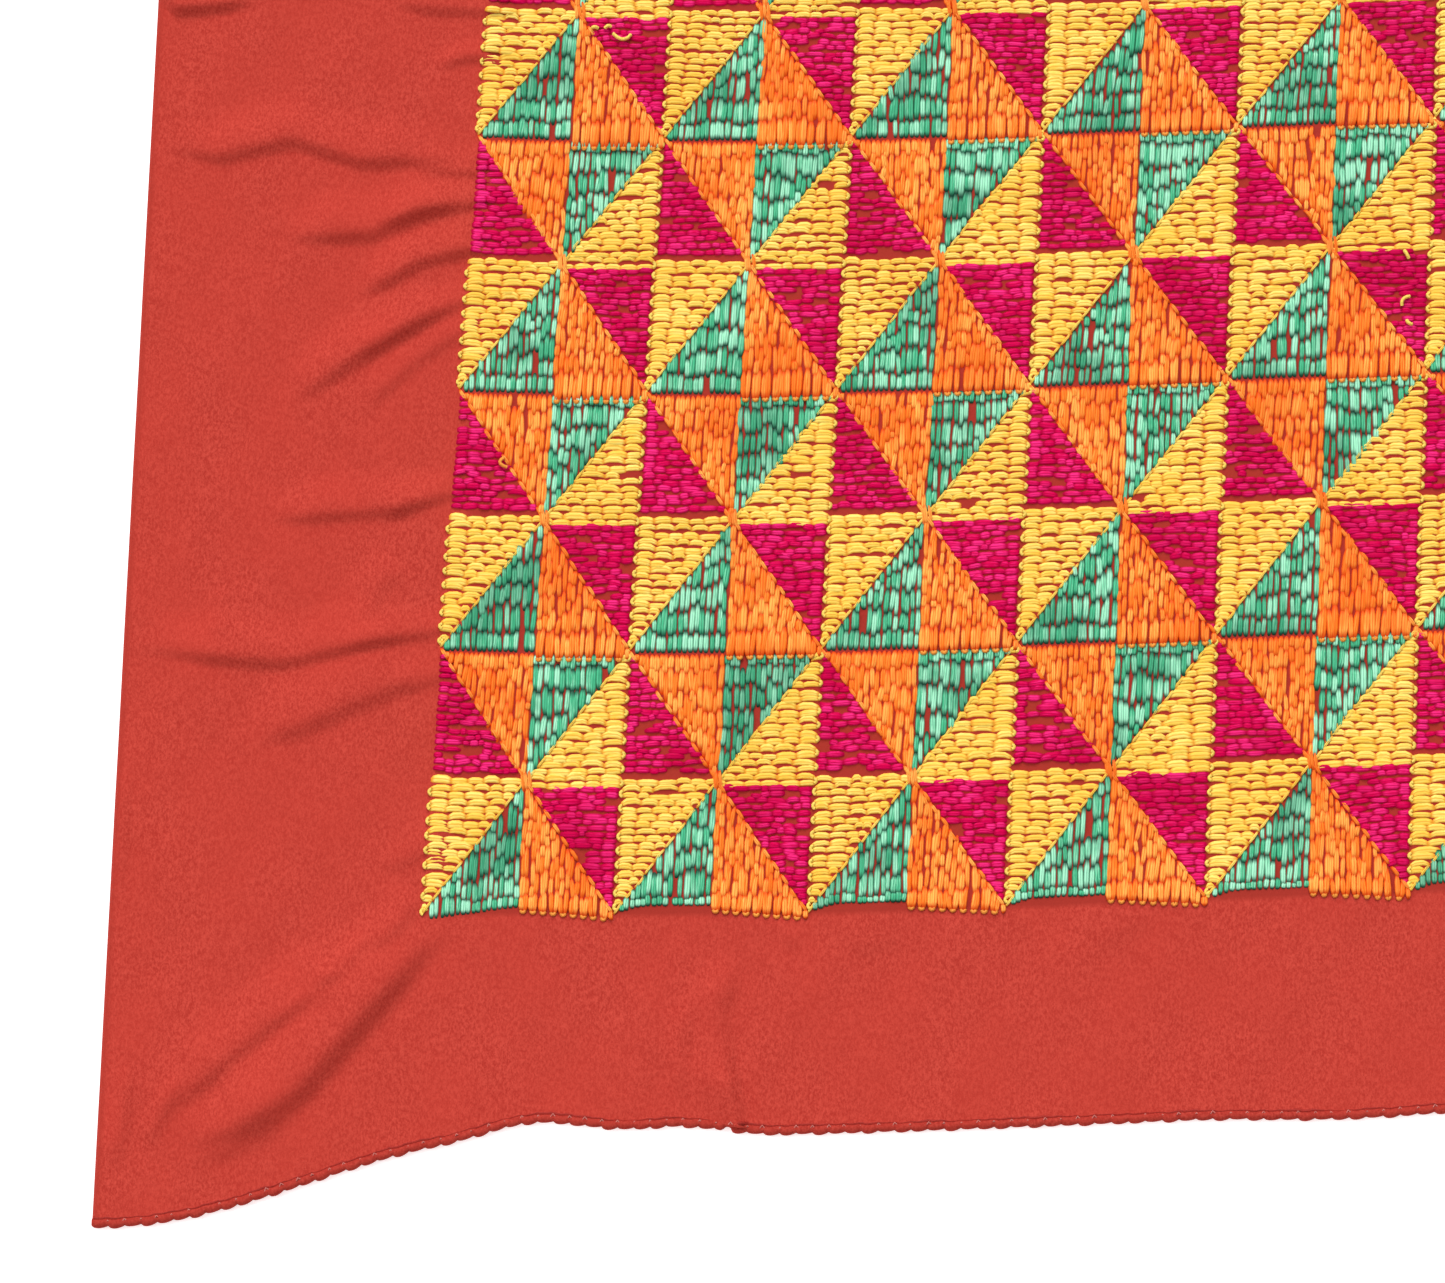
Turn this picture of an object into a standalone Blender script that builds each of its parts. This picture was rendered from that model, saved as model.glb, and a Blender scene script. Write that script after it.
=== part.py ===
"""A phulkari shawl, laid flat in one layer.

The ground is one length of red cloth with a selvedge on each long side and a rolled hem on each short end.
Nearly all of it is covered by an embroidered field, a lattice of quartered diamonds that is thicker than
the plain borders around it. The embroidery draws the cloth in, so the borders are left too long for it:
they lie in soft folds that run from the field to the edge, and the corners hang out.

X runs across the shawl, Y along it and Z up. Sizes are in millimetres. The cloth is worked out from its
near left corner and moved at the end, so that the origin lies under the middle of the whole shawl.
"""
import math
import random
from collections import namedtuple

import bmesh
import bpy
from mathutils import Vector
from mathutils.geometry import delaunay_2d_cdt
from mathutils.kdtree import KDTree

MM = 0.001

# The cloth as it was cut and embroidered
CELL_WIDTH = 24.4           # half a diamond, across the shawl
BAND_HEIGHT = 33.2          # half a diamond, along the shawl
CELLS = 32
BANDS = 64
SIDE_BORDER = 81.0
END_BORDER = 54.5
FIELD_WIDTH = CELLS * CELL_WIDTH
FIELD_LENGTH = BANDS * BAND_HEIGHT
WIDTH = FIELD_WIDTH + 2 * SIDE_BORDER
LENGTH = FIELD_LENGTH + 2 * END_BORDER

# The walls
CLOTH_THICK = 1.3
FLOSS_THICK = 0.7           # what the embroidery adds to the cloth under it
HEM_RADIUS = 1.1
SEAM_GAP = 0.3
CLOTH_EDGE = 2 * HEM_RADIUS + SEAM_GAP

# How the laid cloth lies
BOW = 9.0                   # the rows bow towards the middle of the shawl, by twice this
PULL_DEPTH = 70.0           # how far from an end the corners' pull reaches
Corner = namedtuple("Corner", "side end drop reach")
CORNERS = (
    Corner("left", "near", 25.0, 112.0),
    Corner("right", "near", 17.0, 96.0),
    Corner("left", "far", 14.0, 90.0),
    Corner("right", "far", 21.0, 105.0),
)
Ripple = namedtuple("Ripple", "end station rise reach")
RIPPLES = (
    Ripple("near", 116.0, 3.3, 27.0),
    Ripple("near", 148.0, 2.3, 26.0),
    Ripple("near", 312.0, -1.2, 40.0),
    Ripple("near", 455.0, 2.2, 45.0),
    Ripple("near", 610.0, -2.0, 60.0),
    Ripple("near", 760.0, 2.4, 50.0),
    Ripple("far", 170.0, 2.2, 48.0),
    Ripple("far", 330.0, -1.8, 60.0),
    Ripple("far", 520.0, 2.6, 55.0),
    Ripple("far", 700.0, -1.6, 45.0),
)

# The largest folds beside the near left corner, as crest lines in millimetres from that corner
Fold = namedtuple("Fold", "height half_width path")
CORNER_FOLDS = (
    Fold(2.0, 8.0, ((1, 272), (18, 270), (36, 275), (54, 270), (82, 271))),
    Fold(2.0, 8.0, ((84, 261), (70, 257), (58, 251), (34, 249))),
    Fold(1.8, 7.0, ((82, 234), (71, 229), (55, 219), (40, 206))),
    Fold(1.5, 7.0, ((82, 184), (68, 180), (50, 178), (33, 176))),
    Fold(1.9, 8.0, ((79, 148), (60, 145), (40, 140), (22, 141), (1, 143))),
    Fold(1.7, 10.0, ((79, 139), (63, 132), (48, 125), (33, 118))),
    Fold(3.4, 12.0, ((89, 76), (78, 68), (64, 51), (50, 34), (36, 24), (20, 18))),
    Fold(2.1, 9.0, ((66, 76), (58, 62), (44, 51), (28, 37), (14, 24))),
    Fold(1.6, 7.0, ((157, 72), (152, 58), (153, 42), (157, 29))),
)
Spread = namedtuple("Spread", "edge first last pitch")
FURTHER_FOLDS = (
    Spread("left", 352.0, LENGTH - 70.0, 74.0),
    Spread("right", 60.0, LENGTH - 60.0, 72.0),
    Spread("near", 380.0, WIDTH - 110.0, 92.0),
    Spread("far", 110.0, WIDTH - 100.0, 88.0),
)
FAR_CORNER_FOLDS = (
    ("right", "near"),
    ("left", "far"),
    ("right", "far"),
)

# How closely the solid follows that form
HEM_STEP = 15.0
SELVEDGE_STEP = 33.0
FOLD_STEP = 13.0
FLOSS_STEP = 1.6            # the width of the step up to the embroidered field
LEAST_SPACING = 4.5
HEM_SIDES = 2               # a bevel resolution: the bead has 8 sides

RED_CLOTH = (0.56, 0.052, 0.036)
RED_HEM = (0.50, 0.040, 0.030)


def ease(x):
    """0 to 1, level at both ends."""
    x = min(max(x, 0.0), 1.0)
    return x * x * (3 - 2 * x)


def bell(x):
    """1 in the middle, 0 from a distance of 1 on."""
    return math.cos(min(abs(x), 1.0) * math.pi / 2) ** 2


# The cloth's plan: s is measured across it from the left selvedge, and t along it from the near hem

def sway(s, t):
    """How far the embroidery draws a point across, to +X."""
    across, along = s - SIDE_BORDER, t - END_BORDER
    lean = 5.8 * math.sin(math.tau * (along - 149.0) / 1100.0)
    bunch = 0.8 - 2.6 * math.sin(math.tau * across / 500.0)
    hold_left = ease(s / SIDE_BORDER)
    hold_right = 1.0 - 0.6 * ease((s - WIDTH + SIDE_BORDER) / SIDE_BORDER)
    return (lean + bunch) * hold_left * hold_right


def bow(s, t):
    """How far a row bows along the shawl, to +Y at the near end and to -Y at the far end."""
    across = min(max((s - SIDE_BORDER) / FIELD_WIDTH, 0.0), 1.0)
    along = min(max(t / LENGTH, 0.0), 1.0)
    return BOW * (1.0 - math.cos(math.tau * across)) * math.cos(math.pi * along)


def pull(s, t):
    """How far the corners and the waves of the hems move a point, along +Y."""
    near = 1.0 - ease(t / PULL_DEPTH)
    far = 1.0 - ease((LENGTH - t) / PULL_DEPTH)
    moved = 0.0
    for corner in CORNERS:
        across = s if corner.side == "left" else WIDTH - s
        drop = corner.drop * (1.0 - ease(across / corner.reach))
        moved += drop * far if corner.end == "far" else -drop * near
    for ripple in RIPPLES:
        rise = ripple.rise * bell((s - ripple.station) / ripple.reach)
        moved += -rise * far if ripple.end == "far" else rise * near
    return moved


def place(s, t):
    """Where a point of the cloth lies, from the near left corner."""
    return Vector((s + sway(s, t), t + CORNERS[0].drop + bow(s, t) + pull(s, t)))


def further_folds():
    """Folds like those beside the near left corner, around the rest of the border."""
    chance = random.Random(12)
    folds = []
    for spread in FURTHER_FOLDS:
        station = spread.first
        while station < spread.last:
            reach = chance.uniform(0.55, 0.97)
            slant = chance.uniform(-34.0, 34.0)
            curl = chance.uniform(-6.0, 6.0)
            path = []
            for step in range(4):
                out = reach * step / 3
                along = station + slant * out + curl * math.sin(math.pi * out)
                if spread.edge in ("left", "right"):
                    s = SIDE_BORDER * (1.0 - out) + 2.0
                    s = s if spread.edge == "left" else WIDTH - s
                    path.append(tuple(place(s, along)))
                else:
                    t = END_BORDER * (1.0 - out) + 2.0
                    t = t if spread.edge == "near" else LENGTH - t
                    path.append(tuple(place(along, t)))
            folds.append(Fold(chance.uniform(1.4, 2.2), chance.uniform(7.0, 9.0), tuple(path)))
            station += spread.pitch * chance.uniform(0.75, 1.25)
    return folds


def corner_diagonals():
    """The two long folds that run into each of the other three corners."""
    folds = []
    for side, end in FAR_CORNER_FOLDS:
        for height, half_width, across, along in ((3.2, 11.0, 86.0, 62.0), (2.0, 9.0, 60.0, 66.0)):
            path = []
            for left_over in (1.0, 0.72, 0.46, 0.2):
                s = across * left_over + 4.0
                t = along * left_over ** 1.15
                s = s if side == "left" else WIDTH - s
                t = t if end == "near" else LENGTH - t
                path.append(tuple(place(s, t)))
            folds.append(Fold(height, half_width, tuple(path)))
    return folds


FOLDS = list(CORNER_FOLDS) + corner_diagonals() + further_folds()


def lift(x, y):
    """How high the folds raise the cloth over a point of the plan."""
    highest = 0.0
    for fold in FOLDS:
        reach = fold.half_width
        xs = [p[0] for p in fold.path]
        ys = [p[1] for p in fold.path]
        if not (min(xs) - reach < x < max(xs) + reach and min(ys) - reach < y < max(ys) + reach):
            continue
        runs = [math.dist(a, b) for a, b in zip(fold.path, fold.path[1:])]
        whole = sum(runs)
        done = 0.0
        for (ax, ay), (bx, by), run in zip(fold.path, fold.path[1:], runs):
            along = ((x - ax) * (bx - ax) + (y - ay) * (by - ay)) / run ** 2
            along = min(max(along, 0.0), 1.0)
            away = math.hypot(ax + along * (bx - ax) - x, ay + along * (by - ay) - y)
            share = (done + along * run) / whole
            taper = ease(min(share, 1.0 - share) * 3.5)
            highest = max(highest, fold.height * taper * bell(away / reach))
            done += run
    return highest


def stations(length, step):
    """Evenly spaced distances from 0 to a length."""
    count = max(1, round(length / step))
    return [length * k / count for k in range(count + 1)]


def hem_line(t):
    """A row of points across the cloth at a distance from the near end."""
    return [place(s, t) for s in stations(WIDTH, HEM_STEP)]


def cloth_outline():
    """The edge of the ground cloth, as a closed loop that runs counter-clockwise."""
    near = hem_line(CLOTH_EDGE)
    far = hem_line(LENGTH - CLOTH_EDGE)
    side = [CLOTH_EDGE + t for t in stations(LENGTH - 2 * CLOTH_EDGE, SELVEDGE_STEP)[1:-1]]
    right = [place(WIDTH, t) for t in side]
    left = [place(0.0, t) for t in side]
    return near + right + far[::-1] + left[::-1]


def field_loop(inset):
    """A loop just inside the edge of the embroidered field."""
    low_s, high_s = SIDE_BORDER + inset, WIDTH - SIDE_BORDER - inset
    low_t, high_t = END_BORDER + inset, LENGTH - END_BORDER - inset
    across = stations(high_s - low_s, 2 * CELL_WIDTH)
    along = stations(high_t - low_t, 2 * BAND_HEIGHT)
    loop = [place(low_s + s, low_t) for s in across[:-1]]
    loop += [place(high_s, low_t + t) for t in along[:-1]]
    loop += [place(high_s - s, high_t) for s in across[:-1]]
    loop += [place(low_s, high_t - t) for t in along[:-1]]
    return loop


def fold_points():
    """Points along each fold's crest and along the foot on each side of it."""
    found = []
    for fold in FOLDS:
        for (ax, ay), (bx, by) in zip(fold.path, fold.path[1:]):
            run = math.dist((ax, ay), (bx, by))
            across = Vector((ay - by, bx - ax)) / run
            for share in stations(1.0, FOLD_STEP / run):
                middle = Vector((ax + (bx - ax) * share, ay + (by - ay) * share))
                for offset in (0.0, -fold.half_width, fold.half_width):
                    found.append(middle + across * offset)
    return found


def sparse_points():
    """Points over the flat parts: the middle of the borders, and the embroidered field."""
    found = []
    for t in stations(LENGTH, 45.0)[1:-1]:
        found += [place(SIDE_BORDER / 2, t), place(WIDTH - SIDE_BORDER / 2, t)]
    for s in stations(FIELD_WIDTH, 2 * CELL_WIDTH):
        found += [place(SIDE_BORDER + s, t) for t in (END_BORDER / 2, LENGTH - END_BORDER / 2)]
    for i in range(4, CELLS, 4):
        for j in range(4, BANDS, 4):
            found.append(place(SIDE_BORDER + i * CELL_WIDTH, END_BORDER + j * BAND_HEIGHT))
    return found


def inside(point, loop):
    """Whether a point of the plan lies inside a closed loop."""
    crossings = 0
    for a, b in zip(loop, loop[1:] + loop[:1]):
        if (a.y > point.y) != (b.y > point.y):
            crossings += point.x < a.x + (point.y - a.y) * (b.x - a.x) / (b.y - a.y)
    return crossings % 2 == 1


def well_spaced(fixed, wanted, bounds):
    """The wanted points that lie inside the bounds and clear of all the points before them."""
    kept = list(fixed)
    cells = {}

    def square(point):
        return int(point.x // LEAST_SPACING), int(point.y // LEAST_SPACING)

    for point in kept:
        cells.setdefault(square(point), []).append(point)
    for point in wanted:
        col, row = square(point)
        near = [p for i in (-1, 0, 1) for j in (-1, 0, 1) for p in cells.get((col + i, row + j), ())]
        if any((point - p).length < LEAST_SPACING for p in near) or not inside(point, bounds):
            continue
        kept.append(point)
        cells.setdefault((col, row), []).append(point)
    return kept


def closed_wall(name, corners, faces, under, over):
    """A wall between two heights over the same plan."""
    wall = bmesh.new()
    lower = [wall.verts.new((p.x, p.y, z)) for p, z in zip(corners, under)]
    skin = [wall.faces.new([lower[k] for k in face]) for face in faces]
    grown = bmesh.ops.extrude_face_region(wall, geom=skin, use_keep_orig=True)
    tops = [v for v in grown["geom"] if isinstance(v, bmesh.types.BMVert)]
    finder = KDTree(len(corners))
    for k, point in enumerate(corners):
        finder.insert((point.x, point.y, 0.0), k)
    finder.balance()
    for vert in tops:
        vert.co.z = over[finder.find((vert.co.x, vert.co.y, 0.0))[1]]
    bmesh.ops.recalc_face_normals(wall, faces=wall.faces)
    mesh = bpy.data.meshes.new(name)
    wall.to_mesh(mesh)
    wall.free()
    return mesh


def cloth_material(name, colour):
    """Woven cloth of one colour."""
    material = bpy.data.materials.new(name)
    material.use_nodes = True
    shader = material.node_tree.nodes["Principled BSDF"]
    shader.inputs["Base Color"].default_value = (*colour, 1.0)
    shader.inputs["Roughness"].default_value = 0.85
    shader.inputs["Metallic"].default_value = 0.0
    return material


def ground_cloth():
    """The ground: one wall, thicker over the embroidered field, with the folds of its borders."""
    outline = cloth_outline()
    rim = field_loop(0.0)
    step = field_loop(FLOSS_STEP)
    points = well_spaced(outline + rim + step, fold_points() + sparse_points(), outline)
    loop = list(range(len(outline)))
    first = len(outline)
    rings = [(first + k, first + (k + 1) % len(rim)) for k in range(len(rim))]
    first += len(rim)
    rings += [(first + k, first + (k + 1) % len(step)) for k in range(len(step))]
    plan, _, faces, *_ = delaunay_2d_cdt(points, rings, [loop], 1, 1e-4)
    under = [lift(p.x, p.y) for p in plan]
    over = [z + CLOTH_THICK + (FLOSS_THICK if inside(p, rim) and is_clear(p, rim) else 0.0)
            for p, z in zip(plan, under)]
    return bpy.data.objects.new("ground_cloth", closed_wall("ground_cloth", plan, faces, under, over))


def is_clear(point, loop):
    """Whether a point is further from a loop's edges than half the step up to the field."""
    for a, b in zip(loop, loop[1:] + loop[:1]):
        run = b - a
        along = min(max((point - a).dot(run) / run.length_squared, 0.0), 1.0)
        if (a + run * along - point).length < FLOSS_STEP / 2:
            return False
    return True


def hem(name, t):
    """A rolled hem, as a bead along one short end."""
    line = hem_line(t)
    curve = bpy.data.curves.new(name, "CURVE")
    curve.dimensions = "3D"
    curve.bevel_depth = HEM_RADIUS
    curve.bevel_resolution = HEM_SIDES
    curve.use_fill_caps = True
    spline = curve.splines.new("POLY")
    spline.points.add(len(line) - 1)
    for spot, point in zip(spline.points, line):
        spot.co = (point.x, point.y, HEM_RADIUS + lift(point.x, point.y), 1.0)
    return bpy.data.objects.new(name, curve)


def clear_scene():
    for old in list(bpy.data.objects):
        bpy.data.objects.remove(old)


def centre(pieces):
    """Scales the pieces to metres and puts the origin under the middle of the whole."""
    bpy.context.view_layer.update()
    spots = []
    for piece in pieces:
        spots += [piece.matrix_world @ Vector(corner) for corner in piece.bound_box]
    low = [min(p[k] for p in spots) for k in range(3)]
    high = [max(p[k] for p in spots) for k in range(3)]
    shift = Vector((-(low[0] + high[0]) / 2, -(low[1] + high[1]) / 2, -low[2]))
    for piece in pieces:
        piece.scale = (MM, MM, MM)
        piece.location = shift * MM


def build():
    clear_scene()
    shawl = bpy.data.collections.new("phulkari_shawl")
    bpy.context.scene.collection.children.link(shawl)
    cloth = cloth_material("ground_cloth", RED_CLOTH)
    rolled = cloth_material("rolled_hem", RED_HEM)
    pieces = [ground_cloth(), hem("hem_near", HEM_RADIUS), hem("hem_far", LENGTH - HEM_RADIUS)]
    for piece in pieces:
        piece.data.materials.append(cloth if piece.name == "ground_cloth" else rolled)
        shawl.objects.link(piece)
    centre(pieces)


build()
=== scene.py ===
"""A phulkari shawl laid flat on a pale floor, seen close up at its near left corner.

The shawl is one length of red crepe. Floss darning in green, orange, yellow and magenta covers its field
with a lattice of quartered diamonds. Both short ends have a rolled hem with a fine shell edge, and the
long sides are plain selvedges. The borders lie in soft folds, because the embroidery draws the cloth in.

X runs across the shawl, Y along it and Z up. Sizes are in millimetres from the shawl's near left corner,
and are turned into the frame's metres when a mesh is made.
"""
import math
import random
from collections import namedtuple

import bpy
import numpy as np
from mathutils.geometry import delaunay_2d_cdt
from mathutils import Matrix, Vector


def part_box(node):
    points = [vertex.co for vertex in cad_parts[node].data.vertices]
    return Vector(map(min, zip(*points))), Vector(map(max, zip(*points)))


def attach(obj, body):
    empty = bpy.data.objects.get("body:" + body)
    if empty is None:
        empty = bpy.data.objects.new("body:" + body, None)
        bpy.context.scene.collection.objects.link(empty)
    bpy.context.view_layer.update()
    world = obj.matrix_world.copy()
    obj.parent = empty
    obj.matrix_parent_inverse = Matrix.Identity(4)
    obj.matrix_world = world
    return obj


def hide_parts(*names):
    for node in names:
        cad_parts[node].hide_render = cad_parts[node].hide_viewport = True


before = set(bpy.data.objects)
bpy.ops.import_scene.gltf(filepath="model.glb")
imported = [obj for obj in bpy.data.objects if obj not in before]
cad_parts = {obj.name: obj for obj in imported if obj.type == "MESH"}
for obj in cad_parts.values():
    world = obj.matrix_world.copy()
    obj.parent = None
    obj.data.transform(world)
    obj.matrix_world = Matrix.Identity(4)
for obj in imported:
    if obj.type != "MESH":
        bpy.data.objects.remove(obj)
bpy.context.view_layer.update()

MM = 0.001
BODY = "root"

# The cloth as it was cut and embroidered
CELL_WIDTH = 24.4           # half a diamond, across the shawl
BAND_HEIGHT = 33.2          # half a diamond, along the shawl
CELLS = 32
BANDS = 64
SIDE_BORDER = 81.0
END_BORDER = 54.5
FIELD_WIDTH = CELLS * CELL_WIDTH
FIELD_LENGTH = BANDS * BAND_HEIGHT
WIDTH = FIELD_WIDTH + 2 * SIDE_BORDER
LENGTH = FIELD_LENGTH + 2 * END_BORDER
CLOTH_THICK = 1.3
HEM_RADIUS = 1.1
SEAM_GAP = 0.3
CLOTH_EDGE = 2 * HEM_RADIUS + SEAM_GAP

# How the laid cloth lies
BOW = 9.0
PULL_DEPTH = 70.0
Corner = namedtuple("Corner", "side end drop reach")
CORNERS = (
    Corner("left", "near", 25.0, 112.0),
    Corner("right", "near", 17.0, 96.0),
    Corner("left", "far", 14.0, 90.0),
    Corner("right", "far", 21.0, 105.0),
)
Ripple = namedtuple("Ripple", "end station rise reach")
RIPPLES = (
    Ripple("near", 116.0, 3.3, 27.0),
    Ripple("near", 148.0, 2.3, 26.0),
    Ripple("near", 312.0, -1.2, 40.0),
    Ripple("near", 455.0, 2.2, 45.0),
    Ripple("near", 610.0, -2.0, 60.0),
    Ripple("near", 760.0, 2.4, 50.0),
    Ripple("far", 170.0, 2.2, 48.0),
    Ripple("far", 330.0, -1.8, 60.0),
    Ripple("far", 520.0, 2.6, 55.0),
    Ripple("far", 700.0, -1.6, 45.0),
)

# The folds of the borders, as crest lines
Fold = namedtuple("Fold", "height half_width path")
CORNER_FOLDS = (
    Fold(2.0, 8.0, ((1, 272), (18, 270), (36, 275), (54, 270), (82, 271))),
    Fold(2.0, 8.0, ((84, 261), (70, 257), (58, 251), (34, 249))),
    Fold(1.8, 7.0, ((82, 234), (71, 229), (55, 219), (40, 206))),
    Fold(1.5, 7.0, ((82, 184), (68, 180), (50, 178), (33, 176))),
    Fold(1.9, 8.0, ((79, 148), (60, 145), (40, 140), (22, 141), (1, 143))),
    Fold(1.7, 10.0, ((79, 139), (63, 132), (48, 125), (33, 118))),
    Fold(3.4, 12.0, ((89, 76), (78, 68), (64, 51), (50, 34), (36, 24), (20, 18))),
    Fold(2.1, 9.0, ((66, 76), (58, 62), (44, 51), (28, 37), (14, 24))),
    Fold(1.6, 7.0, ((157, 72), (152, 58), (153, 42), (157, 29))),
)
Spread = namedtuple("Spread", "edge first last pitch")
FURTHER_FOLDS = (
    Spread("left", 352.0, LENGTH - 70.0, 74.0),
    Spread("right", 60.0, LENGTH - 60.0, 72.0),
    Spread("near", 380.0, WIDTH - 110.0, 92.0),
    Spread("far", 110.0, WIDTH - 100.0, 88.0),
)
FAR_CORNER_FOLDS = (
    ("right", "near"),
    ("left", "far"),
    ("right", "far"),
)
# Shallower creases, which only this finer cloth shows
CORNER_CREASES = (
    Fold(1.3, 5.0, ((92, 262), (80, 259), (69, 257), (58, 252))),
    Fold(1.9, 6.0, ((92, 249), (80, 247), (70, 244), (61, 238), (54, 234))),
    Fold(1.2, 5.0, ((90, 238), (81, 234), (71, 228), (60, 221), (52, 213))),
    Fold(1.0, 5.0, ((88, 228), (78, 224), (70, 218), (62, 210), (58, 202))),
    Fold(0.9, 5.0, ((92, 269), (80, 268), (66, 269))),
    Fold(0.9, 5.0, ((90, 187), (79, 184), (70, 181), (62, 176))),
    Fold(0.7, 6.0, ((71, 166), (64, 160), (61, 149))),
    Fold(0.6, 4.0, ((25, 161), (26, 146))),
    Fold(1.0, 5.0, ((88, 152), (77, 149), (66, 147), (52, 143))),
    Fold(0.9, 5.0, ((88, 141), (78, 137), (68, 133))),
    Fold(0.7, 5.0, ((84, 108), (81, 98), (76, 93), (66, 88))),
    Fold(1.0, 6.0, ((79, 85), (73, 76), (64, 68))),
    Fold(0.7, 3.5, ((70, 80), (64, 71), (58, 63), (50, 57))),
    Fold(0.6, 3.0, ((60, 60), (50, 55), (41, 48))),
    Fold(0.9, 3.5, ((22, 38), (17, 29), (13, 19))),
    Fold(0.9, 3.5, ((8, 42), (7, 28), (6, 14))),
    Fold(0.9, 3.5, ((145, 62), (143, 48), (144, 34))),
    Fold(1.5, 3.0, ((154, 52), (155, 42), (157, 32), (160, 22), (162, 8))),
    Fold(0.6, 5.0, ((163, 82), (169, 72))),
    Fold(0.9, 9.0, ((52, 31), (38, 21), (22, 15))),
    Fold(0.5, 7.0, ((197, 76), (184, 72))),
    Fold(0.4, 9.0, ((260, 84), (246, 76), (236, 62))),
    Fold(0.7, 2.5, ((2, 116), (3, 96), (2, 76))),
    Fold(2.2, 5.0, ((-2, 316), (5, 309), (14, 310), (26, 312))),
    Fold(1.3, 6.0, ((94, 310), (80, 311), (70, 311), (58, 313))),
    Fold(1.1, 3.5, ((92, 300), (84, 299), (78, 298), (72, 295))),
)

# The part of the lattice whose floss is modelled stitch by stitch
NEAR_CELLS = 11
NEAR_BANDS = 8

# The photograph's camera
TILT = math.radians(10.0)
ROLL = math.radians(1.67)
FRAME_WIDTH = 1445
FOCAL_PIXELS = 4285.0
MM_PER_PIXEL = 0.25
LOOKS_AT = (149.6, 149.8)


# The plan of the cloth: s is measured across it from the left selvedge, and t along it from the near hem

def ease(x):
    """0 to 1, level at both ends."""
    x = np.clip(x, 0.0, 1.0)
    return x * x * (3 - 2 * x)


def bell(x):
    """1 in the middle, 0 from a distance of 1 on."""
    return np.cos(np.minimum(np.abs(x), 1.0) * math.pi / 2) ** 2


def sway(s, t):
    """How far the embroidery draws a point across, to +X."""
    across, along = s - SIDE_BORDER, t - END_BORDER
    lean = 5.8 * np.sin(math.tau * (along - 149.0) / 1100.0)
    bunch = 0.8 - 2.6 * np.sin(math.tau * across / 500.0)
    hold_left = ease(s / SIDE_BORDER)
    hold_right = 1.0 - 0.6 * ease((s - WIDTH + SIDE_BORDER) / SIDE_BORDER)
    return (lean + bunch) * hold_left * hold_right


def bow(s, t):
    """How far a row bows along the shawl, to +Y at the near end and to -Y at the far end."""
    across = np.clip((s - SIDE_BORDER) / FIELD_WIDTH, 0.0, 1.0)
    along = np.clip(t / LENGTH, 0.0, 1.0)
    return BOW * (1.0 - np.cos(math.tau * across)) * np.cos(math.pi * along)


def pull(s, t):
    """How far the corners and the waves of the hems move a point, along +Y."""
    near = 1.0 - ease(t / PULL_DEPTH)
    far = 1.0 - ease((LENGTH - t) / PULL_DEPTH)
    moved = 0.0
    for corner in CORNERS:
        across = s if corner.side == "left" else WIDTH - s
        drop = corner.drop * (1.0 - ease(across / corner.reach))
        moved = moved + (drop * far if corner.end == "far" else -drop * near)
    for ripple in RIPPLES:
        rise = ripple.rise * bell((s - ripple.station) / ripple.reach)
        moved = moved + (-rise * far if ripple.end == "far" else rise * near)
    return moved


def place(s, t):
    """Where points of the cloth lie, from the near left corner."""
    s, t = np.asarray(s, float), np.asarray(t, float)
    return s + sway(s, t), t + CORNERS[0].drop + bow(s, t) + pull(s, t)


def placed_path(points):
    """A crest line on the laid cloth, from points given in its plan."""
    return tuple(tuple(float(v) for v in place(s, t)) for s, t in points)


def further_folds():
    """Folds like those beside the near left corner, around the rest of the border."""
    chance = random.Random(12)
    folds = []
    for spread in FURTHER_FOLDS:
        station = spread.first
        while station < spread.last:
            reach = chance.uniform(0.55, 0.97)
            slant = chance.uniform(-34.0, 34.0)
            curl = chance.uniform(-6.0, 6.0)
            path = []
            for step in range(4):
                out = reach * step / 3
                along = station + slant * out + curl * math.sin(math.pi * out)
                if spread.edge in ("left", "right"):
                    s = SIDE_BORDER * (1.0 - out) + 2.0
                    path.append((s if spread.edge == "left" else WIDTH - s, along))
                else:
                    t = END_BORDER * (1.0 - out) + 2.0
                    path.append((along, t if spread.edge == "near" else LENGTH - t))
            folds.append(Fold(chance.uniform(1.4, 2.2), chance.uniform(7.0, 9.0), placed_path(path)))
            station += spread.pitch * chance.uniform(0.75, 1.25)
    return folds


def corner_diagonals():
    """The two long folds that run into each of the other three corners."""
    folds = []
    for side, end in FAR_CORNER_FOLDS:
        for height, half_width, across, along in ((3.2, 11.0, 86.0, 62.0), (2.0, 9.0, 60.0, 66.0)):
            path = []
            for left_over in (1.0, 0.72, 0.46, 0.2):
                s = across * left_over + 4.0
                t = along * left_over ** 1.15
                path.append((s if side == "left" else WIDTH - s, t if end == "near" else LENGTH - t))
            folds.append(Fold(height, half_width, placed_path(path)))
    return folds


def further_creases():
    """Shallow creases between the large folds, around the rest of the border."""
    chance = random.Random(31)
    creases = []
    for spread in FURTHER_FOLDS:
        station = spread.first
        while station < spread.last:
            begin = chance.uniform(0.0, 0.45)
            reach = chance.uniform(0.25, 0.5)
            slant = chance.uniform(-30.0, 30.0)
            path = []
            for step in range(3):
                out = begin + reach * step / 2
                along = station + slant * step / 2
                if spread.edge in ("left", "right"):
                    s = SIDE_BORDER * (1.0 - out)
                    path.append((s if spread.edge == "left" else WIDTH - s, along))
                else:
                    t = END_BORDER * (1.0 - out)
                    path.append((along, t if spread.edge == "near" else LENGTH - t))
            creases.append(Fold(chance.uniform(0.5, 1.1), chance.uniform(4.5, 6.5), placed_path(path)))
            station += spread.pitch * chance.uniform(0.3, 0.6)
    return creases


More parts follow.
